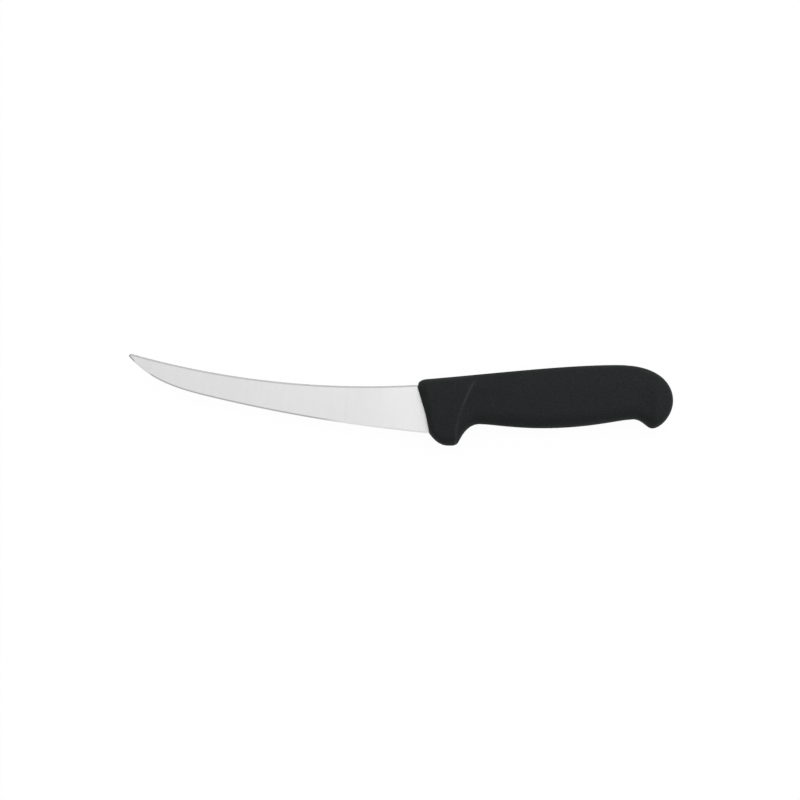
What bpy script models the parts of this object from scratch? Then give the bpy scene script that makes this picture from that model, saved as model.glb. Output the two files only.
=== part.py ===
"""Curved boning knife: a ground steel blade with its tang, and a handle moulded round the tang.

The knife lies on its side. +X runs from the tip to the butt, +Y from the edge to the spine and
+Z up, across the blade. Sizes are in metres. The drawing's own origin is on the blade's middle
plane, where the front of the handle crosses the line of the tang.
"""

import math

import bmesh
import bpy
from mathutils import Vector

# Blade, in side view
BLADE_LENGTH = 0.150  # from the tip to the front of the handle
SPINE_RADIUS = 0.441  # the spine is one long hollow arc
SPINE_LOW_REACH = 0.0295  # from the handle's front to the lowest point of that arc
SPINE_LOW_HEIGHT = 0.0072  # of that lowest point, over the line of the tang
HEEL_HEIGHT = 0.0246  # from spine to edge at the handle's front
EDGE_RADIUS = 0.787  # the long run of the cutting edge
EDGE_HEEL_ANGLE = math.radians(5.5)  # fall of the edge towards the handle
BELLY_LENGTH = 0.040  # from the tip back to the end of the long run
BELLY_TIP_ANGLE = math.radians(48)  # climb of the edge at the tip
BELLY_TIP_PULL = 0.015  # how far the tip's direction is held
BELLY_RUN_PULL = 0.016  # how far the long run's direction is held
TIP_RADIUS = 0.0012

# Blade, across
STOCK_THICKNESS = 0.0020  # of the strip that blade and tang are blanked from
TIP_THICKNESS = 0.0010  # of the spine at the tip
SPINE_BREAK = 0.00025  # chamfer on both corners of the spine
BEVEL_WIDTH = 0.0008  # of the sharpened bevel along the edge
BEVEL_THICKNESS = 0.0005  # of the blade where that bevel starts
EDGE_LAND = 0.00006  # what is left of the metal at the edge itself

# Tang
SHOULDER_DEPTH = 0.0062  # of the blade's full height inside the handle
TANG_HEIGHT = 0.0130  # at the shoulder
TANG_END_HEIGHT = 0.0100
TANG_RISE = 0.0022  # of the tang's far end over its root
TANG_LAP = 0.0030  # length of the tang that is one with the blade's heel
TANG_BACK_COVER = 0.0340  # plastic behind the tang's end
TANG_HOLE_RADIUS = 0.0028
TANG_HOLE_COUNT = 3
TANG_HOLE_START = 0.6  # place of the first hole, as a share of the holes' pitch
MOULD_GAP = 0.0003  # between steel and plastic, on every side

# Handle, in side view
HANDLE_REACH = 0.1255  # from the blade's datum to the end of the butt
FRONT_LEAN = 0.0060  # of the front edge's top, ahead of its foot
FRONT_FOOT_REACH = 0.0020  # of the front edge's foot, where the blade's edge goes in
FRONT_BOW = 0.0008  # hollow of the front edge
COLLAR_RISE = 0.0029  # of the collar over the spine
CORNER_REACH = 0.0048  # of the round corner at the collar's top
CORNER_HEIGHT = 0.0038
CROWN_FROM_BUTT = 0.0280  # to the highest point of the back
CROWN_HEIGHT = 0.0180
GUARD_DROP = 0.0062  # of the guard under the blade's edge
GUARD_TOE_X = 0.0119
GUARD_FLAT = 0.0016  # of the guard's foot
GUARD_HEEL_ROUND = 0.0030
GUARD_BACK_ANGLE = math.radians(65)  # slope of the guard's back
NOTCH_X = 0.0275  # the forefinger's notch behind the guard
NOTCH_DEPTH = 0.0119
BELLY_X = 0.0595  # the swell under the palm
BELLY_DEPTH = 0.0140
HOOK_NOTCH_FROM_BUTT = 0.0203  # the little finger's notch
HOOK_NOTCH_DEPTH = 0.0095
HOOK_FROM_BUTT = 0.0106  # the hook of the butt
HOOK_DEPTH = 0.0141

# How far each curve of that outline keeps the direction of its ends, as a share of its run
CORNER_FRONT_HOLD = 0.60
CORNER_BACK_HOLD = 0.55
RISE_RUN_HOLD = 0.36  # the back leaves the collar at a slope of its own
RISE_CLIMB_HOLD = 0.40
CROWN_FRONT_HOLD = 0.28
CROWN_BACK_HOLD = 0.74
BUTT_TOP_HOLD = 0.48
GUARD_RUN_HOLD = 0.22  # the guard leaves the blade's edge steeply
GUARD_FALL_HOLD = 0.44
GUARD_TOE_HOLD = 0.52
GUARD_HEEL_HOLD = 0.45
GUARD_BACK_HOLD = 0.40
GUARD_CLIMB_HOLD = 0.55
NOTCH_FRONT_HOLD = 0.50
NOTCH_BACK_HOLD = 0.17
BELLY_FRONT_HOLD = 0.48
BELLY_BACK_HOLD = 0.54
HOOK_NOTCH_FRONT_HOLD = 0.14
HOOK_NOTCH_BACK_HOLD = 0.50
HOOK_FRONT_HOLD = 0.30
HOOK_BACK_HOLD = 0.42
BUTT_FOOT_HOLD = 0.52

# Handle, across
HANDLE_THICKNESS = 0.0200
FRONT_THICKNESS = 0.0120  # of the flat at the very front
FRONT_ROUND = 0.0040  # length over which the front widens
BUTT_ROUND = 0.0100  # length over which the butt closes
COLLAR_TOP_ROUND = 0.0070  # depth of the rounded edges on the collar
COLLAR_FOOT_ROUND = 0.0050
GRIP_TOP_ROUND = 0.0110  # and on the grip, which is oval
GRIP_FOOT_ROUND = 0.0080
HOOK_FOOT_ROUND = 0.0050
GRIP_BLEND = 0.0160  # length over which the collar turns into the grip
MOST_ROUND = 0.48  # share of a rib's length that one rounded edge may take

# The ridge that ends the collar, and the hollows beside the grip
RIDGE_TOP_X = 0.0265
RIDGE_FOOT_X = 0.0153
RIDGE_BOW = 0.0031
RIDGE_ROUND = 0.0005  # half of the ridge's own width
SCOOP_DEPTH = 0.0016  # of the hollow behind the ridge, on each side
SCOOP_LENGTH = 0.0320
SCOOP_FULL = 0.55  # share of the height up to which the hollow keeps its depth
SCOOP_END = 0.95  # share of the height where it has died away
HOOK_SCOOP_DEPTH = 0.0012  # of the hollow ahead of the hook, on each side
HOOK_SCOOP_LENGTH = 0.0300
HOOK_EDGE_FROM_BUTT = 0.0088  # to the end of that hollow, on the hook
HOOK_EDGE_RUN = 0.0045  # length over which the hollow ends there

# Fineness
EDGE_STEPS = 40  # stations along the long run of the blade
BELLY_STEPS = 18
BELLY_CROWDING = 1.3  # over 1, the stations of the belly crowd towards the tip
NOSE_STEPS = 4
CURVE_STEPS = 60  # straight pieces that stand for one curve of an outline
ROUND_STEPS = 7  # faces round one rounded edge of the handle
FLAT_STEPS = 5  # faces across one side of the handle
HOLE_STEPS = 24
TANG_END_STEPS = 12
BUTT_STEPS = 9
BUTT_SWEEP = math.radians(87)  # of the ribs towards the very end, which close up there
SMOOTH_ANGLE = math.radians(28)


def mix(a, b, share):
    return a + (b - a) * share


def ease(share):
    """Share from 0 to 1 with a soft start and a soft end."""
    share = min(1.0, max(0.0, share))
    return share * share * (3 - 2 * share)


def bezier(start, start_hold, end_hold, end, steps):
    """Points of one cubic curve."""
    points = []
    for i in range(steps + 1):
        t = i / steps
        s = 1 - t
        points.append(
            s**3 * Vector(start)
            + 3 * s * s * t * Vector(start_hold)
            + 3 * s * t * t * Vector(end_hold)
            + t**3 * Vector(end)
        )
    return points


def height_on(outline, x):
    """Height of an outline, a run of points in order of X, at one X."""
    for a, b in zip(outline, outline[1:]):
        if x <= b.x:
            return mix(a.y, b.y, max(0.0, (x - a.x) / (b.x - a.x)))
    return outline[-1].y


# Outlines of the blade


def spine_height(x):
    """Height of the blade's spine."""
    run = x + SPINE_LOW_REACH
    return SPINE_LOW_HEIGHT + SPINE_RADIUS - math.sqrt(SPINE_RADIUS**2 - run**2)


def edge_run_height(x):
    """Height of the long run of the edge, an arc through the heel."""
    low_x = EDGE_RADIUS * math.sin(EDGE_HEEL_ANGLE)
    low_y = spine_height(0) - HEEL_HEIGHT - EDGE_RADIUS * (1 - math.cos(EDGE_HEEL_ANGLE))
    return low_y + EDGE_RADIUS - math.sqrt(EDGE_RADIUS**2 - (x - low_x) ** 2)


def belly_outline():
    """The curved edge from the tip's nose to the start of the long run."""
    nose_x = TIP_RADIUS - BLADE_LENGTH
    nose = Vector((nose_x, spine_height(nose_x) - 2 * TIP_RADIUS))
    run_x = BELLY_LENGTH - BLADE_LENGTH
    run = Vector((run_x, edge_run_height(run_x)))
    run_angle = EDGE_HEEL_ANGLE - math.asin(run_x / EDGE_RADIUS)
    nose_way = Vector((math.cos(BELLY_TIP_ANGLE), -math.sin(BELLY_TIP_ANGLE)))
    run_way = Vector((math.cos(run_angle), -math.sin(run_angle)))
    return bezier(
        nose, nose + BELLY_TIP_PULL * nose_way, run - BELLY_RUN_PULL * run_way, run, CURVE_STEPS
    )


def blade_stations():
    """(X, spine height, edge height) of each station, from the tip to the shoulder."""
    belly = belly_outline()
    stations = []
    nose_x = belly[0].x
    middle = spine_height(nose_x) - TIP_RADIUS
    for i in range(NOSE_STEPS):
        turn = math.radians(90) * (i + 0.5) / NOSE_STEPS
        reach, half = TIP_RADIUS * math.cos(turn), TIP_RADIUS * math.sin(turn)
        stations.append((nose_x - reach, middle + half, middle - half))
    for i in range(BELLY_STEPS):
        x = mix(nose_x, belly[-1].x, (i / BELLY_STEPS) ** BELLY_CROWDING)
        stations.append((x, spine_height(x), height_on(belly, x)))
    for i in range(EDGE_STEPS + 1):
        x = mix(belly[-1].x, SHOULDER_DEPTH, i / EDGE_STEPS)
        stations.append((x, spine_height(x), edge_run_height(x)))
    return stations


# Meshes


def loft(name, rings):
    """A closed body through rings of points, each with the same number of them."""
    bm = bmesh.new()
    loops = [[bm.verts.new(point) for point in ring] for ring in rings]
    for near, far in zip(loops, loops[1:]):
        for i, vert in enumerate(near):
            bm.faces.new((near[i - 1], far[i - 1], far[i], vert))
    for loop in (loops[0], loops[-1]):
        edges = [bm.edges.get((loop[i - 1], vert)) for i, vert in enumerate(loop)]
        bmesh.ops.contextual_create(bm, geom=edges)
    return finished(name, bm)


def plate(name, outlines, thickness):
    """A flat plate on the middle plane, from its outline and the outlines of its holes."""
    bm = bmesh.new()
    edges = []
    for outline in outlines:
        verts = [bm.verts.new((p.x, p.y, -thickness / 2)) for p in outline]
        edges += [bm.edges.new((verts[i - 1], vert)) for i, vert in enumerate(verts)]
    bmesh.ops.triangle_fill(bm, use_beauty=True, edges=edges)
    made = bmesh.ops.extrude_face_region(bm, geom=bm.faces[:])
    raised = [v for v in made["geom"] if isinstance(v, bmesh.types.BMVert)]
    bmesh.ops.translate(bm, vec=(0, 0, thickness), verts=raised)
    return finished(name, bm)


def finished(name, bm):
    """The object of a finished mesh, with its faces pointing out and its round faces smooth."""
    bmesh.ops.recalc_face_normals(bm, faces=bm.faces[:])
    mesh = bpy.data.meshes.new(name)
    bm.to_mesh(mesh)
    bm.free()
    mesh.shade_smooth()
    mesh.set_sharp_from_angle(angle=SMOOTH_ANGLE)
    obj = bpy.data.objects.new(name, mesh)
    bpy.context.scene.collection.objects.link(obj)
    return obj


def helper(obj):
    """Marks a shape that only cuts or joins another."""
    obj.hide_render = True
    obj.display_type = "WIRE"
    return obj


def combine(obj, other, operation):
    modifier = obj.modifiers.new(operation.lower() + "_" + other.name, "BOOLEAN")
    modifier.operation = operation
    modifier.object = helper(other)


def material(name, colour, roughness, metallic):
    made = bpy.data.materials.new(name)
    made.use_nodes = True
    shader = made.node_tree.nodes["Principled BSDF"]
    shader.inputs["Base Color"].default_value = (*colour, 1.0)
    shader.inputs["Roughness"].default_value = roughness
    shader.inputs["Metallic"].default_value = metallic
    return made


# Blade and tang


def blade_ring(station, grow=0.0):
    """Cross-section of the blade, wedge-ground from the spine to the bevel of the edge."""
    x, top, bottom = station
    share = min(1.0, max(0.0, 1 + x / BLADE_LENGTH))
    height = top - bottom
    spine = mix(TIP_THICKNESS, STOCK_THICKNESS, share) / 2
    chamfer = min(SPINE_BREAK, height / 4)
    bevel = min(BEVEL_WIDTH, height / 3)
    side = [
        (top + grow, spine - chamfer + grow),
        (top - chamfer + grow, spine + grow),
        (bottom + bevel, BEVEL_THICKNESS / 2 + grow),
        (bottom - grow, EDGE_LAND / 2 + grow),
    ]
    ring = [Vector((x, y, z)) for y, z in side]
    return ring + [Vector((x, y, -z)) for y, z in reversed(side)]


def tang_end():
    """The middle of the tang's far end."""
    root = Vector((SHOULDER_DEPTH, 0.0))
    return root, Vector((HANDLE_REACH - TANG_BACK_COVER, TANG_RISE))


def circle(centre, radius, steps):
    turns = [2 * math.pi * i / steps for i in range(steps)]
    return [centre + radius * Vector((math.cos(turn), math.sin(turn))) for turn in turns]


def tang_outlines(grow=0.0):
    """The tang's outline, with a round end, and the holes that the plastic flows through."""
    root, end = tang_end()
    along = (end - root).normalized()
    across = Vector((-along.y, along.x))
    end_half = TANG_END_HEIGHT / 2 + grow
    round_centre = end - along * TANG_END_HEIGHT / 2
    outline = [
        root - along * TANG_LAP + across * (TANG_HEIGHT / 2 + grow),
        root - along * TANG_LAP - across * (TANG_HEIGHT / 2 + grow),
    ]
    for i in range(TANG_END_STEPS + 1):
        turn = math.radians(180) * i / TANG_END_STEPS
        outline.append(
            round_centre + end_half * (along * math.sin(turn) - across * math.cos(turn))
        )
    pitch = (round_centre - root) / TANG_HOLE_COUNT
    holes = [
        circle(root + pitch * (i + TANG_HOLE_START), TANG_HOLE_RADIUS - grow, HOLE_STEPS)
        for i in range(TANG_HOLE_COUNT)
    ]
    return [outline, *holes]


def make_blade():
    """Blade and tang, one piece of steel."""
    blade = loft("blade", [blade_ring(station) for station in blade_stations()])
    tang = plate("tang_blank", tang_outlines(), STOCK_THICKNESS)
    combine(blade, tang, "UNION")
    return blade


def heel_pocket():
    """The space that the blade's heel takes up in the handle, with the mould's gap."""
    front = -FRONT_LEAN - FRONT_ROUND
    back = SHOULDER_DEPTH + MOULD_GAP
    rings = []
    for i in range(EDGE_STEPS // 4 + 1):
        x = mix(front, back, i / (EDGE_STEPS // 4))
        rings.append(blade_ring((x, spine_height(x), edge_run_height(x)), MOULD_GAP))
    return loft("heel_pocket", rings)


def tang_pocket():
    """The space that the tang takes up, round the plastic in its holes."""
    return plate("tang_pocket", tang_outlines(MOULD_GAP), STOCK_THICKNESS + 2 * MOULD_GAP)


# Handle


def front_top():
    """Where the front edge of the handle turns into the round corner of the collar."""
    x = FRONT_FOOT_REACH - FRONT_LEAN
    return Vector((x, spine_height(x) + COLLAR_RISE - CORNER_HEIGHT))


def guard_foot_height():
    return edge_run_height(FRONT_FOOT_REACH) - GUARD_DROP


def top_outline():
    """The handle's back: the collar's corner, the long rise to the crown, and the butt."""
    start = front_top()
    line = start + Vector((CORNER_REACH, CORNER_HEIGHT))
    crown = Vector((HANDLE_REACH - CROWN_FROM_BUTT, CROWN_HEIGHT))
    butt = Vector((HANDLE_REACH, 0.0))
    rise = crown - line
    corner = bezier(
        start,
        start + Vector((0.0, CORNER_FRONT_HOLD * CORNER_HEIGHT)),
        line - CORNER_BACK_HOLD * CORNER_REACH * Vector((1.0, rise.y / rise.x)),
        line,
        CURVE_STEPS,
    )
    back = bezier(
        line,
        line + Vector((RISE_RUN_HOLD * rise.x, RISE_CLIMB_HOLD * rise.y)),
        crown - Vector((CROWN_FRONT_HOLD * rise.x, 0.0)),
        crown,
        CURVE_STEPS,
    )
    end = bezier(
        crown,
        crown + Vector((CROWN_BACK_HOLD * CROWN_FROM_BUTT, 0.0)),
        butt + Vector((0.0, BUTT_TOP_HOLD * CROWN_HEIGHT)),
        butt,
        CURVE_STEPS,
    )
    return corner + back[1:] + end[1:]


def level(start, start_pull, end, end_pull):
    """A curve between two points that leaves both of them level, along X."""
    return bezier(
        start,
        start + Vector((start_pull * (end.x - start.x), 0.0)),
        end - Vector((end_pull * (end.x - start.x), 0.0)),
        end,
        CURVE_STEPS,
    )


def bottom_outline():
    """The underside: guard, forefinger's notch, palm swell, little finger's notch and hook."""
    foot = Vector((FRONT_FOOT_REACH, edge_run_height(FRONT_FOOT_REACH)))
    toe = Vector((GUARD_TOE_X, guard_foot_height()))
    heel = toe + Vector((GUARD_FLAT, 0.0))
    back_way = Vector((math.cos(GUARD_BACK_ANGLE), math.sin(GUARD_BACK_ANGLE)))
    back = heel + GUARD_HEEL_ROUND * (Vector((0.85, 0.0)) + 0.7 * back_way)
    notch = Vector((NOTCH_X, -NOTCH_DEPTH))
    belly = Vector((BELLY_X, -BELLY_DEPTH))
    hook_notch = Vector((HANDLE_REACH - HOOK_NOTCH_FROM_BUTT, -HOOK_NOTCH_DEPTH))
    hook = Vector((HANDLE_REACH - HOOK_FROM_BUTT, -HOOK_DEPTH))
    butt = Vector((HANDLE_REACH, 0.0))
    drop = toe - foot
    climb = notch - back
    front = bezier(
        foot,
        foot + Vector((GUARD_RUN_HOLD * drop.x, GUARD_FALL_HOLD * drop.y)),
        toe - Vector((GUARD_TOE_HOLD * drop.x, 0.0)),
        toe,
        CURVE_STEPS,
    )
    flat = [mix(toe, heel, 0.5), heel]
    corner = bezier(
        heel,
        heel + Vector((GUARD_HEEL_HOLD * GUARD_HEEL_ROUND, 0.0)),
        back - GUARD_BACK_HOLD * GUARD_HEEL_ROUND * back_way,
        back,
        CURVE_STEPS,
    )
    rear = bezier(
        back,
        back + GUARD_CLIMB_HOLD * climb.y * back_way,
        notch - Vector((NOTCH_FRONT_HOLD * climb.x, 0.0)),
        notch,
        CURVE_STEPS,
    )
    swell = level(notch, NOTCH_BACK_HOLD, belly, BELLY_FRONT_HOLD)
    rise = level(belly, BELLY_BACK_HOLD, hook_notch, HOOK_NOTCH_FRONT_HOLD)
    dip = level(hook_notch, HOOK_NOTCH_BACK_HOLD, hook, HOOK_FRONT_HOLD)
    end = bezier(
        hook,
        hook + Vector((HOOK_BACK_HOLD * HOOK_FROM_BUTT, 0.0)),
        butt - Vector((0.0, BUTT_FOOT_HOLD * HOOK_DEPTH)),
        butt,
        CURVE_STEPS,
    )
    runs = [front, flat, corner, rear, swell, rise, dip, end]
    return runs[0] + [point for run in runs[1:] for point in run[1:]]


class HandleForm:
    """The handle's form, drawn as ribs that stand from its underside to its back."""

    def __init__(self):
        self.top = top_outline()
        self.bottom = bottom_outline()
        self.front = self.rib_line(self.top[0].x, FRONT_FOOT_REACH, -FRONT_BOW)
        self.ridge = self.rib_line(RIDGE_TOP_X, RIDGE_FOOT_X, RIDGE_BOW)
        self.hook_edge = HANDLE_REACH - HOOK_EDGE_FROM_BUTT

    def rib_line(self, top_x, bottom_x, bow):
        """Foot, head and forward bow of one rib."""
        head = Vector((top_x, height_on(self.top, top_x)))
        foot = Vector((bottom_x, height_on(self.bottom, bottom_x)))
        return foot, head, bow

    @staticmethod
    def on_line(line, share):
        foot, head, bow = line
        point = mix(foot, head, share)
        point.x -= bow * 4 * share * (1 - share)
        return point

    def ribs(self):
        """All ribs from the front to the butt, between marks that match above and below.

        A mark is the X of a rib's head and foot, its bow, and the steps to the next mark.
        """
        corner_x = self.top[0].x + CORNER_REACH
        toe_share = 0.35
        hook_notch_x = HANDLE_REACH - HOOK_NOTCH_FROM_BUTT
        guard_back_x = GUARD_TOE_X + GUARD_FLAT + GUARD_HEEL_ROUND
        marks = [
            (self.top[0].x, FRONT_FOOT_REACH, -FRONT_BOW, 6),
            (corner_x, mix(FRONT_FOOT_REACH, GUARD_TOE_X, toe_share), -FRONT_BOW, 9),
            (RIDGE_TOP_X - RIDGE_ROUND, RIDGE_FOOT_X - RIDGE_ROUND, RIDGE_BOW, 1),
            (RIDGE_TOP_X, RIDGE_FOOT_X, RIDGE_BOW, 1),
            (RIDGE_TOP_X + RIDGE_ROUND, RIDGE_FOOT_X + RIDGE_ROUND, RIDGE_BOW, 6),
            (mix(RIDGE_TOP_X, NOTCH_X, 0.5) + 0.3 * SCOOP_LENGTH / 4, guard_back_x, RIDGE_BOW, 9),
            (NOTCH_X + SCOOP_LENGTH / 4, NOTCH_X, RIDGE_BOW / 2, 9),
            (BELLY_X, BELLY_X, 0.0, 10),
            (hook_notch_x, hook_notch_x, 0.0, 7),
            (self.hook_edge - HOOK_EDGE_RUN, self.hook_edge - HOOK_EDGE_RUN, 0.0, 6),
            (self.hook_edge, self.hook_edge, 0.0, 0),
        ]
        lines = []
        for here, there in zip(marks, marks[1:]):
            for i in range(here[3]):
                share = i / here[3]
                lines.append(self.rib_line(*[mix(a, b, share) for a, b in zip(here[:3], there)]))
        for i in range(BUTT_STEPS + 1):
            x = mix(self.hook_edge, HANDLE_REACH, math.sin(BUTT_SWEEP * i / BUTT_STEPS))
            lines.append(self.rib_line(x, x, 0.0))
        return lines

    def half_thickness(self, point, share):
        """Half of the handle's width at a point of a rib, before its edges are rounded."""
        half = HANDLE_THICKNESS / 2
        behind_front = point.x - self.on_line(self.front, share).x
        if behind_front < FRONT_ROUND:
            left = 1 - max(0.0, behind_front) / FRONT_ROUND
            half = mix(FRONT_THICKNESS / 2, half, math.sqrt(1 - left * left))
        into_butt = (point.x - HANDLE_REACH + BUTT_ROUND) / BUTT_ROUND
        if into_butt > 0:
            half *= math.sqrt(max(0.0, 1 - into_butt * into_butt))
        fade = 1 - ease((share - SCOOP_FULL) / (SCOOP_END - SCOOP_FULL))
        scoop = (point.x - self.on_line(self.ridge, share).x) / SCOOP_LENGTH
        if 0 < scoop < 1:
            half -= SCOOP_DEPTH * fade * 27 / 4 * scoop * (1 - scoop) ** 2
        before_hook = self.hook_edge - point.x
        deepens = ease((HOOK_SCOOP_LENGTH - before_hook) / (HOOK_SCOOP_LENGTH - HOOK_EDGE_RUN))
        half -= HOOK_SCOOP_DEPTH * fade * deepens * ease(before_hook / HOOK_EDGE_RUN)
        return half

    def rounds(self, line):
        """Depth of the rounded edges of one rib, at its foot and at its head."""
        foot, head, _ = line
        length = (head - foot).length
        behind_ridge = mix(foot.x, head.x, 0.5) - self.on_line(self.ridge, 0.5).x
        grip = 1 - (1 - min(1.0, max(0.0, behind_ridge / GRIP_BLEND))) ** 2
        hook = 1 - ease((self.hook_edge - foot.x) / HOOK_EDGE_RUN)
        at_foot = mix(COLLAR_FOOT_ROUND, mix(GRIP_FOOT_ROUND, HOOK_FOOT_ROUND, hook), grip)
        at_head = mix(COLLAR_TOP_ROUND, GRIP_TOP_ROUND, grip)
        most = MOST_ROUND * length
        return min(at_foot, most), min(at_head, most), length

    def ring(self, line):
        """Cross-section along one rib: two flat sides between two rounded edges."""
        at_foot, at_head, length = self.rounds(line)
        turns = [math.radians(90) * i / ROUND_STEPS for i in range(ROUND_STEPS + 1)]
        stops = [(at_foot * (1 - math.cos(turn)) / length, math.sin(turn)) for turn in turns]
        head_stops = [(1 - at_head * (1 - math.cos(turn)) / length, math.sin(turn)) for turn in turns]
        for i in range(1, FLAT_STEPS):
            stops.append((mix(stops[ROUND_STEPS][0], head_stops[-1][0], i / FLAT_STEPS), 1.0))
        stops += reversed(head_stops)
        side = []
        for share, width in stops:
            point = self.on_line(line, share)
            side.append(Vector((point.x, point.y, width * self.half_thickness(point, share))))
        return side + [Vector((p.x, p.y, -p.z)) for p in reversed(side[1:-1])]


def make_handle():
    """The moulded handle, with the tang's pocket and the plugs through the tang's holes."""
    form = HandleForm()
    handle = loft("handle", [form.ring(line) for line in form.ribs()])
    combine(handle, heel_pocket(), "DIFFERENCE")
    combine(handle, tang_pocket(), "DIFFERENCE")
    return handle


# Assembly


def box_of(objects):
    """Lowest and highest corner of some objects with their modifiers."""
    bpy.context.view_layer.update()
    graph = bpy.context.evaluated_depsgraph_get()
    corners = []
    for obj in objects:
        shown = obj.evaluated_get(graph)
        corners += [shown.matrix_world @ Vector(corner) for corner in shown.bound_box]
    low = Vector([min(c[i] for c in corners) for i in range(3)])
    high = Vector([max(c[i] for c in corners) for i in range(3)])
    return low, high


def main():
    for obj in list(bpy.data.objects):
        bpy.data.objects.remove(obj)
    blade = make_blade()
    blade.data.materials.append(material("satin_steel", (0.72, 0.72, 0.71), 0.32, 1.0))
    handle = make_handle()
    handle.data.materials.append(material("black_nylon", (0.012, 0.013, 0.013), 0.55, 0.0))
    low, high = box_of([blade, handle])
    knife = bpy.data.objects.new("knife", None)
    bpy.context.scene.collection.objects.link(knife)
    knife.location = (-(low.x + high.x) / 2, -(low.y + high.y) / 2, HANDLE_THICKNESS / 2)
    for obj in list(bpy.data.objects):
        if obj is not knife:
            obj.parent = knife


main()
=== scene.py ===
"""Looks of a curved boning knife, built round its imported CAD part.

The file is laid out as an add-on: the properties hold the sizes and colours that a user would
change, and each operator makes one piece, or the stage that it is shown on.
"""

import math

import bmesh
import bpy
from bpy.props import FloatProperty, FloatVectorProperty, PointerProperty
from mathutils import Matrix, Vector


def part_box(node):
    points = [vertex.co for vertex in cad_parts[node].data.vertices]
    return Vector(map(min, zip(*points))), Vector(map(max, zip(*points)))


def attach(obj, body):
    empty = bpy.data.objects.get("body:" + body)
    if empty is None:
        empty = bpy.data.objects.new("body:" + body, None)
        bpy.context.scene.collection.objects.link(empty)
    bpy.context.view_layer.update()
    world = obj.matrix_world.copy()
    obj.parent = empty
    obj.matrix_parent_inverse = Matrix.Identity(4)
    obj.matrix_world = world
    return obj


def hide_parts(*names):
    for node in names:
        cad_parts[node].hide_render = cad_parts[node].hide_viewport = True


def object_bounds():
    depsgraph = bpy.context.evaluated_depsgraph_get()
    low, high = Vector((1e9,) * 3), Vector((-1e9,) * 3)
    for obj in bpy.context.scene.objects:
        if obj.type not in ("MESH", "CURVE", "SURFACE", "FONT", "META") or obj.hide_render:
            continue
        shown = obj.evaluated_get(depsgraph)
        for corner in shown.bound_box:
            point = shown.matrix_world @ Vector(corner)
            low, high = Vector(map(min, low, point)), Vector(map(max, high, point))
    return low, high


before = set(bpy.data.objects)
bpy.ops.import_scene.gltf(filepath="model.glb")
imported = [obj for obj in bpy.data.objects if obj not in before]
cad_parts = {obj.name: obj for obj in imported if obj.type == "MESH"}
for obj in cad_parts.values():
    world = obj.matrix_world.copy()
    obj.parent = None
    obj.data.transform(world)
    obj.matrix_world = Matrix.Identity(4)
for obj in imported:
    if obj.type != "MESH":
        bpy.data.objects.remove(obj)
CAD_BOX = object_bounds()

bl_info = {
    "name": "Boning Knife Looks",
    "version": (1, 0, 0),
    "blender": (4, 5, 0),
    "location": "3D View > Sidebar > Knife",
    "description": "Dresses the CAD part of a boning knife and sets up its studio",
    "category": "Object",
}

BODY = "root"
MERGE_DISTANCE = 1e-6
WHITE = (1.0, 1.0, 1.0, 1.0)
NOISE_SPAN = (0.3, 0.7)  # nearly all values of a noise texture lie between these


class SteelSettings(bpy.types.PropertyGroup):
    """Finish of the ground blade, with its painted reflection, highlights and shade."""

    # painted reflection: along the blade the grind is mixed from these two colours to look darker
    # behind the tip and brighter by the handle; its grain also mixes them at random
    light: FloatVectorProperty(
        name="Light steel",
        description="Colour of the satin grind where it is brightest, by the handle",
        subtype="COLOR",
        default=(0.72, 0.72, 0.72),
    )
    # painted reflection: the darker end of the grind, behind the tip
    shade: FloatVectorProperty(
        name="Shaded steel",
        description="Colour of the satin grind where it is darkest, behind the tip",
        subtype="COLOR",
        default=(0.60, 0.60, 0.60),
    )
    # partly the spine's own duller finish, partly painted shade: a dark line along the spine where
    # its rounded corners turn from the light
    spine: FloatVectorProperty(
        name="Spine",
        description="Colour of the blanked spine and its broken corners",
        subtype="COLOR",
        default=(0.42, 0.42, 0.425),
    )
    # painted reflection: the narrow bevel drawn as a darker line along the edge, where the tilted
    # bevel mirrors less light
    bevel: FloatVectorProperty(
        name="Sharpened bevel",
        description="Colour of the narrow bevel along the edge",
        subtype="COLOR",
        default=(0.47, 0.47, 0.475),
    )
    # painted highlight: the bevel made lighter behind the point and by the handle, where it catches
    # the light
    bevel_highlight: FloatVectorProperty(
        name="Bright bevel",
        description="Colour of the bevel where it is polished, behind the point and by the handle",
        subtype="COLOR",
        default=(0.78, 0.78, 0.78),
    )
    # painted shade: a dark spot on the bevel at the very point
    point: FloatVectorProperty(
        name="Point",
        description="Colour of the bevel on the very point",
        subtype="COLOR",
        default=(0.30, 0.30, 0.305),
    )
    # width of the dark line painted along the spine, much wider than its rounding
    spine_width: FloatProperty(
        name="Spine line",
        description="Width of the broken corner along the spine",
        subtype="DISTANCE",
        default=0.0009,
    )
    bevel_width: FloatProperty(
        name="Bevel line",
        description="Width of the sharpened bevel along the edge",
        subtype="DISTANCE",
        default=0.0008,
    )
    line_pitch: FloatProperty(
        name="Grind lines",
        description="Spacing of the finest grinding lines",
        subtype="DISTANCE",
        default=0.00016,
    )
    line_length: FloatProperty(
        name="Grind line length",
        description="Length of the finest grinding lines, across the blade",
        subtype="DISTANCE",
        default=0.040,
    )
    band_pitch: FloatProperty(
        name="Grind bands",
        description="Spacing of the broader bands in the grind",
        subtype="DISTANCE",
        default=0.0022,
    )
    band_length: FloatProperty(
        name="Grind band length",
        description="Length of the broader bands, across the blade",
        subtype="DISTANCE",
        default=0.060,
    )
    grind_depth: FloatProperty(
        name="Grind depth",
        description="Depth of the grinding lines",
        subtype="DISTANCE",
        default=0.00003,
    )
    tip_run: FloatProperty(
        name="Tip",
        description="Length at the tip over which the edge runs straight on to the point",
        subtype="DISTANCE",
        default=0.0012,
    )
    spine_round: FloatProperty(
        name="Spine round",
        description="Width of the rounding on the spine's corners",
        subtype="DISTANCE",
        default=0.00008,
    )


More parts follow.
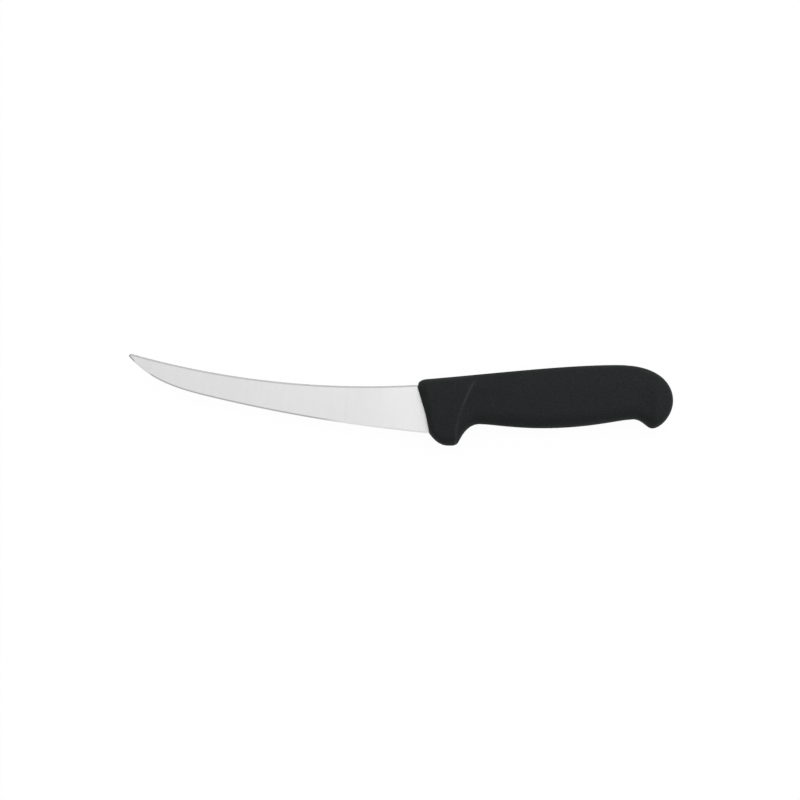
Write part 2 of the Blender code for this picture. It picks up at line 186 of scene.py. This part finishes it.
class GripSettings(bpy.types.PropertyGroup):
    """Finish of the moulded handle, with a highlight painted along its ridge."""

    black: FloatVectorProperty(
        name="Black",
        description="Colour in the hollows of the grain",
        subtype="COLOR",
        default=(0.0189, 0.0205, 0.0210),
    )
    grey: FloatVectorProperty(
        name="Grain tops",
        description="Colour on the tops of the grain",
        subtype="COLOR",
        default=(0.0262, 0.0286, 0.0295),
    )
    # painted highlight: a pale line along the ridge of the collar, drawn in this colour
    ridge_highlight: FloatVectorProperty(
        name="Worn edges",
        description="Colour where hands have rubbed the ridges",
        subtype="COLOR",
        default=(0.048, 0.051, 0.051),
    )
    ridge_foot: FloatProperty(
        name="Ridge foot",
        description="How far behind the handle's front the ridge of the collar starts, at its foot",
        subtype="DISTANCE",
        default=0.0193,
    )
    ridge_head: FloatProperty(
        name="Ridge head",
        description="How far behind the handle's front the ridge of the collar ends, at the back",
        subtype="DISTANCE",
        default=0.0305,
    )
    ridge_height: FloatProperty(
        name="Ridge height",
        description="Height of the ridge's head over its foot",
        subtype="DISTANCE",
        default=0.0350,
    )
    ridge_bow: FloatProperty(
        name="Ridge bow",
        description="How far the middle of the ridge is bowed towards the blade",
        subtype="DISTANCE",
        default=0.0031,
    )
    # the line along the ridge is a painted highlight, where the roughness is also lowered
    ridge_width: FloatProperty(
        name="Ridge line",
        description="Half of the width of the rubbed line along the ridge",
        subtype="DISTANCE",
        default=0.0011,
    )
    ridge_stray: FloatProperty(
        name="Ridge stray",
        description="How far the rubbed line strays from the ridge",
        subtype="DISTANCE",
        default=0.0002,
    )
    grain_pitch: FloatProperty(
        name="Grain",
        description="Spacing of the pebbled grain",
        subtype="DISTANCE",
        default=0.00075,
    )
    grain_depth: FloatProperty(
        name="Grain depth",
        description="Depth of the pebbled grain",
        subtype="DISTANCE",
        default=0.00007,
    )
    parting_width: FloatProperty(
        name="Parting line",
        description="Width of the line where the two halves of the mould met",
        subtype="DISTANCE",
        default=0.0003,
    )
    parting_height: FloatProperty(
        name="Parting height",
        description="Height of that line over the surface",
        subtype="DISTANCE",
        default=0.00006,
    )


class StageSettings(bpy.types.PropertyGroup):
    """Camera, floor and light."""

    camera_height: FloatProperty(
        name="Camera height",
        description="Height of the camera over the blade's middle plane",
        subtype="DISTANCE",
        default=1.8,
    )
    view_width: FloatProperty(
        name="View width",
        description="Width of the picture in the blade's middle plane",
        subtype="DISTANCE",
        default=0.4050,
    )
    view_offset: FloatProperty(
        name="View offset",
        description="How far the camera stands towards the tip from the middle of the knife",
        subtype="DISTANCE",
        default=0.0005,
    )
    view_drop: FloatProperty(
        name="View drop",
        description="How far the camera stands towards the edge from the middle of the knife",
        subtype="DISTANCE",
        default=0.00012,
    )
    floor_side: FloatProperty(
        name="Floor",
        description="Side of the floor",
        subtype="DISTANCE",
        default=6.0,
    )
    floor: FloatVectorProperty(
        name="Floor colour",
        description="Colour of the floor",
        subtype="COLOR",
        default=(0.88, 0.88, 0.88),
    )
    floor_white: FloatProperty(
        name="Floor white",
        description="Share of white in the floor as the camera sees it; the rest keeps the shadow",
        subtype="FACTOR",
        default=0.95,
    )
    floor_glow: FloatProperty(
        name="Floor glow",
        description="Strength of that white, which brings the floor beyond the shadow up to white",
        default=1.015,
    )
    key_power: FloatProperty(
        name="Key light",
        description="Power of the soft light over the knife",
        subtype="POWER",
        default=5.0,
    )
    side_power: FloatProperty(
        name="Side light",
        description="Power of the light beyond the butt",
        subtype="POWER",
        default=1.3,
    )
    rear_power: FloatProperty(
        name="Rear light",
        description="Power of the low light behind the spine",
        subtype="POWER",
        default=0.9,
    )
    sky_top: FloatProperty(
        name="Ceiling",
        description="Brightness of the studio overhead",
        default=0.62,
    )
    gloss_side: FloatProperty(
        name="Walls in gloss",
        description="Brightness of the studio's walls in reflections, where the ceiling is white",
        default=0.35,
    )
    sky_side: FloatProperty(
        name="Walls",
        description="Brightness of the studio at the height of the table",
        default=0.26,
    )


# Meshes and pieces


def cad_copy(node):
    """A bmesh of a CAD node's mesh, with its loose triangles merged."""
    bm = bmesh.new()
    bm.from_mesh(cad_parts[node].data)
    bmesh.ops.remove_doubles(bm, verts=bm.verts[:], dist=MERGE_DISTANCE)
    return bm


def round_edges(bm, edges, width):
    """Bevels edges in two steps, so that a row of edges is left along their middle."""
    bmesh.ops.bevel(
        bm,
        geom=edges,
        offset=width,
        offset_type="OFFSET",
        segments=2,
        profile=0.5,
        affect="EDGES",
        material=-1,
    )


def make_piece(name, bm, sharp_angle):
    """The object of a finished mesh, smooth but for its sharp edges."""
    mesh = bpy.data.meshes.new(name)
    bm.to_mesh(mesh)
    bm.free()
    mesh.shade_smooth()
    mesh.set_sharp_from_angle(angle=sharp_angle)
    piece = bpy.data.objects.new(name, mesh)
    bpy.context.scene.collection.objects.link(piece)
    return piece


def stand_for(piece, node):
    """The piece takes the place of a CAD node, on its body and with its finish."""
    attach(piece, BODY)
    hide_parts(node)


# Shader nodes


def add_node(tree, kind, inputs=None, **settings):
    """A node with its settings, and with its inputs set or linked."""
    node = tree.nodes.new(kind)
    for name, value in settings.items():
        setattr(node, name, value)
    for socket, value in (inputs or {}).items():
        if isinstance(value, bpy.types.NodeSocket):
            tree.links.new(value, node.inputs[socket])
        else:
            node.inputs[socket].default_value = value
    return node


def new_material(name):
    """A material with its node tree and its shader."""
    material = bpy.data.materials.new(name)
    material.use_nodes = True
    tree = material.node_tree
    return material, tree, tree.nodes["Principled BSDF"]


def opaque(colour):
    """A colour with the alpha that a colour socket takes."""
    return (*colour, 1.0)


def math_of(tree, operation, first, second=0.0):
    """The result of an operation on one or two values."""
    node = add_node(tree, "ShaderNodeMath", {0: first, 1: second}, operation=operation)
    return node.outputs[0]


def weighed(tree, share, first, second):
    """A share of the first value and the rest of the second."""
    part = math_of(tree, "MULTIPLY", first, share)
    return math_of(tree, "ADD", part, math_of(tree, "MULTIPLY", second, 1 - share))


def ranged(tree, value, span, to_low, to_high):
    """A value moved from a span to another range, held at its ends, with a soft step."""
    low, high = span
    node = add_node(
        tree,
        "ShaderNodeMapRange",
        {"Value": value, "From Min": low, "From Max": high, "To Min": to_low, "To Max": to_high},
        interpolation_type="SMOOTHSTEP",
    )
    return node.outputs["Result"]


def within(tree, distance, width, soft):
    """1 within a width, dying away between two shares of it."""
    start, end = soft
    return ranged(tree, distance, (width * start, width * end), 1.0, 0.0)


def noise_at(tree, place, scale, detail):
    """Noise at a place on the piece, with a scale in waves to the metre."""
    return add_node(
        tree, "ShaderNodeTexNoise", {"Vector": place, "Scale": scale, "Detail": detail}
    ).outputs["Fac"]


def mixed(tree, share, first, second):
    """Two colours mixed by the second one's share."""
    node = add_node(tree, "ShaderNodeMix", {"Factor": share}, data_type="RGBA")
    for socket, value in (("A", first), ("B", second)):
        target = [i for i in node.inputs if i.name == socket and i.type == "RGBA"][0]
        if isinstance(value, bpy.types.NodeSocket):
            tree.links.new(value, target)
        else:
            target.default_value = value
    return [o for o in node.outputs if o.type == "RGBA"][0]


def finish_surface(tree, shader, colour, rough, height, strength, depth):
    """Gives a shader its colour, its roughness and a bump from a height."""
    bump = add_node(
        tree, "ShaderNodeBump", {"Height": height, "Strength": strength, "Distance": depth}
    )
    tree.links.new(colour, shader.inputs["Base Color"])
    tree.links.new(rough, shader.inputs["Roughness"])
    tree.links.new(bump.outputs["Normal"], shader.inputs["Normal"])


def show_mix(tree, output, share, first, second):
    """Sends two shaders to an output, mixed by the second one's share."""
    both = add_node(tree, "ShaderNodeMixShader", {0: share, 1: first, 2: second})
    tree.links.new(both.outputs["Shader"], tree.nodes[output].inputs["Surface"])


# Blade

STATION_GAP = 3e-5  # points of the blade closer than this along X belong to one station
HEEL_REACH = 0.006  # how far into the handle the stations are read
SLOPE_SPAN = 6  # stations on each side over which the slope is taken
SPINE_DEPTH = 0.0003  # the spine's corners lie no deeper than this under its top
CORNER_LENGTH = 0.0004  # least run of an edge that is rounded
CORNER_SLANT = 4  # least run of such an edge for each unit that it goes across the blade
CORNER_TURN = math.radians(20)  # least turn at such an edge
BLADE_SHARP = math.radians(9)  # edges that turn more than this stay sharp

# Stretches over which the painted reflection, highlights and shade on the steel change, measured
# along X from the tip
POINT = (0.0018, 0.0034)
PALE_TIP = (0.0, 0.009)
DARK_BEVEL_START = (0.0095, 0.0120)  # where the bevel's painted dark reflection begins, after the painted highlight behind the point
DARK_BEVEL_END = (0.094, 0.110)
MIDDLE = (0.036, 0.112)
HEEL = (0.112, 0.145)

# Shares of light steel in the grind: from its grain, and the painted reflection added along it,
# lighter on the very tip and towards the handle
GRAIN_LIGHT = (0.11, 0.35)
TIP_LIGHT = 0.8
MIDDLE_LIGHT = 0.25
HEEL_LIGHT = 0.34

STEEL_CLOUDS = 38.0  # waves to the metre
LINE_ROUGHNESS = 0.6  # weight of each finer step of the lines' noise
FINE_SHARE = 0.55  # share of the fine lines in the grain; the rest is bands
GRAIN_SHARE = 0.7  # share of the grain in the tone; the rest is clouds
STEEL_ROUGHNESS = (0.40, 0.27)  # in the hollows of the grain and on its tops
STEEL_BUMP = 0.08
BEVEL_SOFT = (0.85, 1.1)  # shares of the bevel's width between which it ends
SPINE_SOFT = (0.6, 1.2)  # the same for the spine's corner


class Section:
    """Where the blade's spine and edge lie, read from the stations of its mesh."""

    def __init__(self, bm):
        heel_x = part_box("handle")[0].x + HEEL_REACH
        points = sorted((v.co.x, v.co.y) for v in bm.verts if v.co.x < heel_x)
        stations = [[points[0]]]
        for point in points[1:]:
            if point[0] - stations[-1][0][0] > STATION_GAP:
                stations.append([])
            stations[-1].append(point)
        self.xs = [station[0][0] for station in stations]
        self.low = [min(y for _, y in station) for station in stations]
        self.high = [max(y for _, y in station) for station in stations]

    def at(self, x):
        """Edge height, spine height and slope of the blade's middle line."""
        last = len(self.xs) - 1
        i = 1
        while i < last and self.xs[i] < x:
            i += 1
        run = self.xs[i] - self.xs[i - 1]
        share = min(1.0, max(0.0, (x - self.xs[i - 1]) / run))
        low = self.low[i - 1] + (self.low[i] - self.low[i - 1]) * share
        high = self.high[i - 1] + (self.high[i] - self.high[i - 1]) * share
        near = max(0, i - SLOPE_SPAN)
        far = min(last, i + SLOPE_SPAN)
        rise = self.low[far] + self.high[far] - self.low[near] - self.high[near]
        return low, high, rise / 2 / (self.xs[far] - self.xs[near])


def draw_out_tip(bm, section, length):
    """Runs the edge straight on to the point, past the rounder nose of the CAD part."""
    nose_x = section.xs[0] + length
    nose_low = section.at(nose_x)[0]
    fall = (nose_low - section.at(nose_x + length)[0]) / length
    for vert in bm.verts:
        if vert.co.x < nose_x:
            low, high, _ = section.at(vert.co.x)
            keen = min(high, max(low, nose_low + fall * (nose_x - vert.co.x)))
            vert.co.y = high - (high - vert.co.y) * (high - keen) / (high - low)


def is_spine_corner(edge, section):
    """Whether an edge runs along one of the two corners of the broken spine."""
    a, b = (vert.co for vert in edge.verts)
    run = abs(a.x - b.x)
    if run <= CORNER_LENGTH or run <= CORNER_SLANT * abs(a.z - b.z):
        return False
    if max(a.x, b.x) >= section.xs[-1] or edge.calc_face_angle(0.0) <= CORNER_TURN:
        return False
    return all(section.at(end.x)[1] - end.y < SPINE_DEPTH for end in (a, b))


def round_spine(bm, section, width):
    """Rounds the two corners of the broken spine."""
    round_edges(bm, [edge for edge in bm.edges if is_spine_corner(edge, section)], width)


def write_blade_maps(bm, section):
    """Keeps, for the steel, the distance to edge and spine and the run of the grinding lines."""
    from_edge = bm.verts.layers.float.new("from_edge")
    from_spine = bm.verts.layers.float.new("from_spine")
    grind = bm.loops.layers.uv.new("grind")
    places = {}
    for vert in bm.verts:
        low, high, slope = section.at(vert.co.x)
        vert[from_edge] = vert.co.y - low
        vert[from_spine] = high - vert.co.y
        across = vert.co.y - (low + high) / 2
        places[vert.index] = (vert.co.x + across * slope, across)
    for face in bm.faces:
        for loop in face.loops:
            loop[grind].uv = places[loop.vert.index]


def grind_lines(tree, pitch, length, detail):
    """Noise drawn out into lines across the blade."""
    grind = add_node(tree, "ShaderNodeUVMap", uv_map="grind").outputs["UV"]
    stretched = add_node(
        tree, "ShaderNodeMapping", {"Vector": grind, "Scale": (1 / pitch, 1 / length, 1.0)}
    ).outputs["Vector"]
    return add_node(
        tree,
        "ShaderNodeTexNoise",
        {"Vector": stretched, "Scale": 1.0, "Detail": detail, "Roughness": LINE_ROUGHNESS},
        noise_dimensions="2D",
    ).outputs["Fac"]


def steel_colour(tree, settings, grain):
    """Colour of the grind, lightened along the blade as painted reflection, and of its bevel and
    its spine, with painted reflection, highlights and shade there too.
    """
    place = add_node(tree, "ShaderNodeTexCoord").outputs["Object"]
    along = add_node(tree, "ShaderNodeSeparateXYZ", {"Vector": place}).outputs["X"]
    tip_x = CAD_BOX[0].x

    def over(stretch, before, after):
        start, end = stretch
        return ranged(tree, along, (tip_x + start, tip_x + end), before, after)

    clouds = noise_at(tree, place, STEEL_CLOUDS, detail=3.0)
    light = ranged(tree, weighed(tree, GRAIN_SHARE, grain, clouds), NOISE_SPAN, *GRAIN_LIGHT)
    # painted reflection: the grind made lighter on the very tip and brighter towards the handle
    for added in (
        over(PALE_TIP, TIP_LIGHT, 0.0),
        over(MIDDLE, 0.0, MIDDLE_LIGHT),
        over(HEEL, 0.0, HEEL_LIGHT),
    ):
        light = math_of(tree, "ADD", light, added)
    colour = mixed(tree, light, opaque(settings.shade), opaque(settings.light))

    # painted shade on the very point, painted highlight on the bevel behind it and by the handle,
    # and a darker painted reflection between
    point = over(POINT, 1.0, 0.0)
    dark_bevel = math_of(tree, "MAXIMUM", point, over(DARK_BEVEL_START, 0.0, 1.0))
    dark_bevel = math_of(tree, "MULTIPLY", dark_bevel, over(DARK_BEVEL_END, 1.0, 0.0))
    bevel = mixed(tree, dark_bevel, opaque(settings.bevel_highlight), opaque(settings.bevel))
    bevel = mixed(tree, point, bevel, opaque(settings.point))
    to_edge = add_node(tree, "ShaderNodeAttribute", attribute_name="from_edge").outputs["Fac"]
    to_spine = add_node(tree, "ShaderNodeAttribute", attribute_name="from_spine").outputs["Fac"]
    in_bevel = within(tree, to_edge, settings.bevel_width, BEVEL_SOFT)
    # the spine's dark line: partly its duller finish, partly painted shade
    in_spine = within(tree, to_spine, settings.spine_width, SPINE_SOFT)
    colour = mixed(tree, in_bevel, colour, bevel)
    return mixed(tree, in_spine, colour, opaque(settings.spine))


def satin_steel(settings):
    """Satin steel with grinding lines across the blade, a fine bevel and a dark line on the spine,
    with painted reflection, highlights and shade.
    """
    material, tree, shader = new_material("satin_steel")
    fine = grind_lines(tree, settings.line_pitch, settings.line_length, detail=2.0)
    bands = grind_lines(tree, settings.band_pitch, settings.band_length, detail=3.0)
    grain = weighed(tree, FINE_SHARE, fine, bands)
    colour = steel_colour(tree, settings, grain)
    rough = ranged(tree, grain, NOISE_SPAN, *STEEL_ROUGHNESS)
    finish_surface(tree, shader, colour, rough, grain, STEEL_BUMP, settings.grind_depth)
    shader.inputs["Metallic"].default_value = 1.0
    return material


class KNIFE_OT_blade(bpy.types.Operator):
    """Make the blade with its drawn-out point, its rounded spine and its satin grind"""

    bl_idname = "knife.blade"
    bl_label = "Blade"

    def execute(self, context):
        settings = context.scene.knife_steel
        bm = cad_copy("blade")
        draw_out_tip(bm, Section(bm), settings.tip_run)
        section = Section(bm)
        round_spine(bm, section, settings.spine_round)
        bm.verts.index_update()
        write_blade_maps(bm, section)
        piece = make_piece("blade_steel", bm, BLADE_SHARP)
        piece.data.materials.append(satin_steel(settings))
        stand_for(piece, "blade")
        return {"FINISHED"}


# Handle

MIDDLE_REACH = 2e-5  # points closer than this to the middle plane lie in it
FLAT_TURN = math.radians(7)  # most turn between two triangles that are joined
JOIN_SKEW = math.radians(60)  # most that the corners of the joined face may be off square
HANDLE_SHARP = math.radians(40)  # edges that turn more than this stay sharp

# The line along the ridge, a painted highlight where the roughness is also lowered, in shares of
# the ridge's height: fainter under the first stretch, then fading
RIDGE_BRIGHTENS = (0.52, 0.72)
RIDGE_FADES = (0.84, 0.97)
RIDGE_FAINT = 0.55
RIDGE_SOFT = (0.2, 1.0)  # shares of the line's half width between which it ends
RIDGE_WAVES = 240.0  # waves to the metre in which it strays
BOW_SCALE = 4  # makes a parabola from foot to head 1 high in its middle

GRIP_CLOUDS = 45.0  # waves to the metre
PATCHES = (0.35, 0.65)  # the clouds between which the painted highlight and the rubbing turn from faint to full
PATCH_FAINT = 0.35
PEBBLE_SMOOTHNESS = 0.7
PEBBLE_SPAN = (0.10, 0.70)  # from a pebble's top to its foot, in shares of the pitch
PEBBLE_SHARE = 0.8  # share of the pebbles in the grain; the rest is finer
FINE_WAVES = 3  # waves of the finer grain to each pebble
GRIP_ROUGHNESS = (0.56, 0.68)
RUBBED_GLOSS = 0.12  # what rubbing takes off the roughness
GRIP_BUMP = 0.55
GRIP_SPECULAR = 0.025


def outline_middle(bm, middle):
    """The edges of the handle that lie in its middle plane."""
    return [e for e in bm.edges if all(abs(v.co.z - middle) < MIDDLE_REACH for v in e.verts)]


def raise_parting_line(bm, width, height):
    """Raises the fine line that the mould leaves along the middle of the handle."""
    low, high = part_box("handle")
    middle = (low.z + high.z) / 2
    round_edges(bm, outline_middle(bm, middle), width / 2)
    bmesh.ops.dissolve_degenerate(bm, dist=MERGE_DISTANCE, edges=bm.edges[:])
    bm.normal_update()
    crest = [v for e in outline_middle(bm, middle) for v in e.verts]
    for vert in set(crest):
        vert.co += vert.normal * height


def ridge_line(tree, settings, place):
    """1 along the ridge that ends the collar, on both sides, dying away towards the back: where its
    highlight is painted and rubbing lowers the roughness.
    """
    front, foot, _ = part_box("handle")[0]
    axes = add_node(tree, "ShaderNodeSeparateXYZ", {"Vector": place}).outputs
    above_foot = math_of(tree, "SUBTRACT", axes["Y"], foot)
    climb = math_of(tree, "DIVIDE", above_foot, settings.ridge_height)
    left = math_of(tree, "SUBTRACT", 1.0, climb)
    lean = math_of(tree, "MULTIPLY", climb, settings.ridge_head - settings.ridge_foot)
    arch = math_of(tree, "MULTIPLY", climb, left)
    bow = math_of(tree, "MULTIPLY", arch, BOW_SCALE * settings.ridge_bow)
    behind_foot = math_of(tree, "SUBTRACT", axes["X"], front + settings.ridge_foot)
    behind_ridge = math_of(tree, "ADD", math_of(tree, "SUBTRACT", behind_foot, lean), bow)
    waves = noise_at(tree, place, RIDGE_WAVES, detail=1.0)
    stray = ranged(tree, waves, NOISE_SPAN, -settings.ridge_stray, settings.ridge_stray)
    off = math_of(tree, "ABSOLUTE", math_of(tree, "ADD", behind_ridge, stray))
    line = within(tree, off, settings.ridge_width, RIDGE_SOFT)
    foot_end = ranged(tree, climb, RIDGE_BRIGHTENS, RIDGE_FAINT, 1.0)
    head_end = ranged(tree, climb, RIDGE_FADES, 1.0, 0.0)
    return math_of(tree, "MULTIPLY", line, math_of(tree, "MULTIPLY", foot_end, head_end))


def pebbled_grain(tree, settings, place):
    """Height of the grain, from its hollows, near 0, to its tops, near 1."""
    pebbles = add_node(
        tree,
        "ShaderNodeTexVoronoi",
        {"Vector": place, "Scale": 1 / settings.grain_pitch, "Smoothness": PEBBLE_SMOOTHNESS},
        feature="SMOOTH_F1",
    ).outputs["Distance"]
    tops = ranged(tree, pebbles, PEBBLE_SPAN, 1.0, 0.0)
    fine = noise_at(tree, place, FINE_WAVES / settings.grain_pitch, detail=2.0)
    return weighed(tree, PEBBLE_SHARE, tops, fine)


def black_nylon(settings):
    """Matte black plastic with a fine pebbled grain, smoother on its ridges from rubbing, with a
    highlight painted along the collar's ridge.
    """
    material, tree, shader = new_material("black_nylon")
    place = add_node(tree, "ShaderNodeTexCoord").outputs["Object"]
    grain = pebbled_grain(tree, settings, place)
    clouds = noise_at(tree, place, GRIP_CLOUDS, detail=4.0)
    patches = ranged(tree, clouds, PATCHES, PATCH_FAINT, 1.0)
    # painted highlight along the ridge, which also marks where rubbing lowers the roughness
    rubbed_and_highlit = math_of(tree, "MULTIPLY", ridge_line(tree, settings, place), patches)
    colour = mixed(tree, grain, opaque(settings.black), opaque(settings.grey))
    colour = mixed(tree, rubbed_and_highlit, colour, opaque(settings.ridge_highlight))
    rough = ranged(tree, clouds, NOISE_SPAN, *GRIP_ROUGHNESS)
    rough = math_of(tree, "SUBTRACT", rough, math_of(tree, "MULTIPLY", rubbed_and_highlit, RUBBED_GLOSS))
    finish_surface(tree, shader, colour, rough, grain, GRIP_BUMP, settings.grain_depth)
    shader.inputs["Specular IOR Level"].default_value = GRIP_SPECULAR
    return material


class KNIFE_OT_handle(bpy.types.Operator):
    """Make the moulded handle with its parting line and its grain"""

    bl_idname = "knife.handle"
    bl_label = "Handle"

    def execute(self, context):
        settings = context.scene.knife_grip
        bm = cad_copy("handle")
        bmesh.ops.join_triangles(
            bm,
            faces=bm.faces[:],
            angle_face_threshold=FLAT_TURN,
            angle_shape_threshold=JOIN_SKEW,
        )
        raise_parting_line(bm, settings.parting_width, settings.parting_height)
        piece = make_piece("handle_grip", bm, HANDLE_SHARP)
        piece.data.materials.append(black_nylon(settings))
        stand_for(piece, "handle")
        return {"FINISHED"}


# Stage

# Each lamp's place and the sides of its panel; all point at the origin, under the knife
LAMPS = {
    "key": ((0.10, 0.55, 1.25), (1.3, 0.9)),
    "side": ((0.75, 0.10, 0.45), (0.3, 0.6)),
    "rear": ((0.05, 0.80, 0.45), (0.6, 0.3)),
}
WALL_TO_CEILING = (0.0, 0.9)  # sines of the elevation between which the studio brightens
GLOSS_TO_CEILING = (0.1, 0.95)  # the same in reflections
PAPER_ROUGHNESS = 0.9
VIEW_DEPTH = 20.0  # how far the camera sees


def white_rays(tree):
    """1 for the rays that show the background itself, straight or in gloss or glass."""
    path = add_node(tree, "ShaderNodeLightPath").outputs
    seen = math_of(tree, "MAXIMUM", path["Is Camera Ray"], path["Is Glossy Ray"])
    return math_of(tree, "MAXIMUM", seen, path["Is Transmission Ray"])


def floor_paper(settings):
    """Pale paper that the camera sees as white, but for a faint shadow."""
    material, tree, shader = new_material("floor_paper")
    shader.inputs["Base Color"].default_value = opaque(settings.floor)
    shader.inputs["Roughness"].default_value = PAPER_ROUGHNESS
    shader.inputs["Specular IOR Level"].default_value = 0.0
    glow = add_node(tree, "ShaderNodeEmission", {"Color": WHITE, "Strength": settings.floor_glow})
    share = math_of(tree, "MULTIPLY", white_rays(tree), settings.floor_white)
    show_mix(tree, "Material Output", share, shader.outputs["BSDF"], glow.outputs["Emission"])
    return material


def make_floor(settings):
    """A square floor under the knife."""
    bm = bmesh.new()
    bmesh.ops.create_grid(bm, x_segments=1, y_segments=1, size=settings.floor_side / 2)
    mesh = bpy.data.meshes.new("floor")
    bm.to_mesh(mesh)
    bm.free()
    mesh.materials.append(floor_paper(settings))
    floor = bpy.data.objects.new("floor", mesh)
    bpy.context.scene.collection.objects.link(floor)


def make_world(settings):
    """A pale studio, brighter overhead, that the camera sees as white."""
    world = bpy.data.worlds.new("studio")
    bpy.context.scene.world = world
    world.use_nodes = True
    tree = world.node_tree
    way = add_node(tree, "ShaderNodeTexCoord").outputs["Generated"]
    up = add_node(tree, "ShaderNodeSeparateXYZ", {"Vector": way}).outputs["Z"]
    path = add_node(tree, "ShaderNodeLightPath").outputs
    dim = ranged(tree, up, WALL_TO_CEILING, settings.sky_side, settings.sky_top)
    shown = ranged(tree, up, GLOSS_TO_CEILING, settings.gloss_side, 1.0)
    level = add_node(
        tree, "ShaderNodeMix", {"Factor": path["Is Glossy Ray"], "A": dim, "B": shown}
    ).outputs["Result"]
    studio = tree.nodes["Background"]
    studio.inputs["Color"].default_value = WHITE
    tree.links.new(level, studio.inputs["Strength"])
    white = add_node(tree, "ShaderNodeBackground", {"Color": WHITE, "Strength": 1.0})
    seen = math_of(tree, "MAXIMUM", path["Is Camera Ray"], path["Is Transmission Ray"])
    show_mix(tree, "World Output", seen, studio.outputs["Background"], white.outputs["Background"])


def make_lamp(name, power):
    """A soft panel of light at its place, turned to the knife."""
    place, sides = LAMPS[name]
    data = bpy.data.lights.new(name, "AREA")
    data.shape = "RECTANGLE"
    data.size, data.size_y = sides
    data.energy = power
    lamp = bpy.data.objects.new(name, data)
    lamp.location = place
    lamp.rotation_euler = (-Vector(place)).to_track_quat("-Z", "Y").to_euler()
    bpy.context.scene.collection.objects.link(lamp)


def make_camera(settings):
    """A long lens straight over the knife."""
    low, high = CAD_BOX
    middle = (low + high) / 2
    data = bpy.data.cameras.new("camera")
    data.sensor_fit = "HORIZONTAL"
    data.lens = data.sensor_width * settings.camera_height / settings.view_width
    data.clip_end = VIEW_DEPTH
    camera = bpy.data.objects.new("camera", data)
    camera.location = (
        middle.x - settings.view_offset,
        middle.y - settings.view_drop,
        middle.z + settings.camera_height,
    )
    bpy.context.scene.collection.objects.link(camera)
    bpy.context.scene.camera = camera


class KNIFE_OT_stage(bpy.types.Operator):
    """Make the floor, the light and the camera"""

    bl_idname = "knife.stage"
    bl_label = "Stage"

    def execute(self, context):
        settings = context.scene.knife_stage
        context.scene.view_settings.view_transform = "Standard"
        make_floor(settings)
        make_world(settings)
        make_lamp("key", settings.key_power)
        make_lamp("side", settings.side_power)
        make_lamp("rear", settings.rear_power)
        make_camera(settings)
        return {"FINISHED"}


# Panel and registration


class KNIFE_PT_panel(bpy.types.Panel):
    """Lists the pieces of the knife and its stage"""

    bl_idname = "KNIFE_PT_panel"
    bl_label = "Boning Knife"
    bl_space_type = "VIEW_3D"
    bl_region_type = "UI"
    bl_category = "Knife"

    def draw(self, context):
        groups = (
            (KNIFE_OT_blade, context.scene.knife_steel),
            (KNIFE_OT_handle, context.scene.knife_grip),
            (KNIFE_OT_stage, context.scene.knife_stage),
        )
        for operator, settings in groups:
            box = self.layout.box()
            box.operator(operator.bl_idname)
            for name in settings.__annotations__:
                box.prop(settings, name)


CLASSES = (
    SteelSettings,
    GripSettings,
    StageSettings,
    KNIFE_OT_blade,
    KNIFE_OT_handle,
    KNIFE_OT_stage,
    KNIFE_PT_panel,
)


def register():
    for cls in CLASSES:
        bpy.utils.register_class(cls)
    bpy.types.Scene.knife_steel = PointerProperty(type=SteelSettings)
    bpy.types.Scene.knife_grip = PointerProperty(type=GripSettings)
    bpy.types.Scene.knife_stage = PointerProperty(type=StageSettings)


def unregister():
    del bpy.types.Scene.knife_stage
    del bpy.types.Scene.knife_grip
    del bpy.types.Scene.knife_steel
    for cls in reversed(CLASSES):
        bpy.utils.unregister_class(cls)


def main():
    register()
    bpy.ops.knife.blade()
    bpy.ops.knife.handle()
    bpy.ops.knife.stage()


if __name__ == "__main__":
    main()
